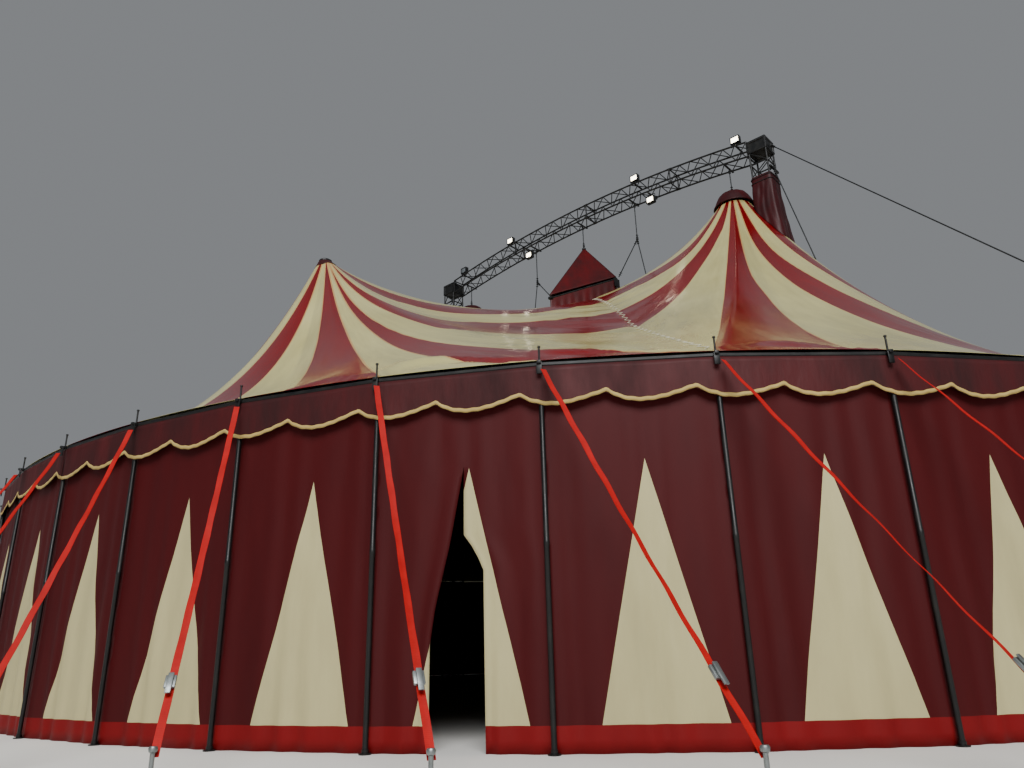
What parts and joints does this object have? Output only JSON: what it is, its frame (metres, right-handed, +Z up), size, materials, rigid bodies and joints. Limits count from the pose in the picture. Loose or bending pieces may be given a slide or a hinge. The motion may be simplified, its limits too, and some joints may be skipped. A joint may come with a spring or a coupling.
{
  "type": "circus big top tent",
  "caption": "Round big top with a striped four-peak canopy hung from an arched lattice truss on two towers, with scalloped valance, side poles, straps and walls.",
  "frame": {"origin": "on the ground at the middle of the ring", "axes": "+X along the arch to the near tower, +Z up"},
  "size_m": [38.8612, 36.4308, 16.2717],
  "materials": {
    "striped_canopy_sheet": "glossy coated polyester sheet in red and cream stripes",
    "side_pole_steel": "dull galvanised tube, with red polyester straps and steel stakes",
    "wall_sheet": "matt dark red coated sheet with a cream triangle in each bay",
    "valance_sheet": "dark red sheet with a cream braid along its scalloped edge",
    "black_lattice_steel": "black paint on steel, chipped at the edges",
    "dark_hood_sheet": "dark red coated sheet",
    "cupola_sheet": "glossy red coated sheet",
    "wire_rope": "weathered stranded wire rope",
    "floodlight_housing": "black powder coat"
  },
  "bodies": {
    "root": {"canopy_near_a": "striped_canopy_sheet", "canopy_near_b": "striped_canopy_sheet", "canopy_left_a": "striped_canopy_sheet", "canopy_left_b": "striped_canopy_sheet", "canopy_far_a": "striped_canopy_sheet", "canopy_far_b": "striped_canopy_sheet", "canopy_right_a": "striped_canopy_sheet", "canopy_right_b": "striped_canopy_sheet", "side_poles_near_right": "side_pole_steel", "side_poles_far_right": "side_pole_steel", "side_poles_far_left": "side_pole_steel", "side_poles_near_left": "side_pole_steel", "wall_1": "wall_sheet", "wall_2": "wall_sheet", "wall_3": "wall_sheet", "wall_4": "wall_sheet", "wall_5": "wall_sheet", "wall_6": "wall_sheet", "wall_7": "wall_sheet", "wall_8": "wall_sheet", "valance_near_right": "valance_sheet", "valance_far_right": "valance_sheet", "valance_far_left": "valance_sheet", "valance_near_left": "valance_sheet", "arch_truss": "black_lattice_steel", "tower_near": "black_lattice_steel", "tower_far": "black_lattice_steel", "corner_block_near": "black_lattice_steel", "corner_block_far": "black_lattice_steel", "peak_ring_near": "black_lattice_steel", "peak_ring_far": "black_lattice_steel", "king_pole_left": "black_lattice_steel", "king_pole_right": "black_lattice_steel", "cupola_frame": "black_lattice_steel", "tower_sleeve_near": "dark_hood_sheet", "tower_sleeve_far": "dark_hood_sheet", "peak_hood_near": "dark_hood_sheet", "peak_hood_far": "dark_hood_sheet", "cupola_hood": "cupola_sheet", "cupola_skirt": "cupola_sheet", "peak_hanger_near": "wire_rope", "peak_hanger_far": "wire_rope", "cupola_hanger": "wire_rope", "cupola_bridle_near": "wire_rope", "cupola_bridle_far": "wire_rope", "tower_guy_near": "wire_rope", "tower_guy_far": "wire_rope", "tower_stay_near": "wire_rope", "tower_stay_far": "wire_rope", "floodlight_near_end": "floodlight_housing", "floodlight_near_top": "floodlight_housing", "floodlight_near_under": "floodlight_housing", "floodlight_far_under": "floodlight_housing", "floodlight_far_top": "floodlight_housing", "floodlight_far_end": "floodlight_housing"}
  },
  "joints": []
}
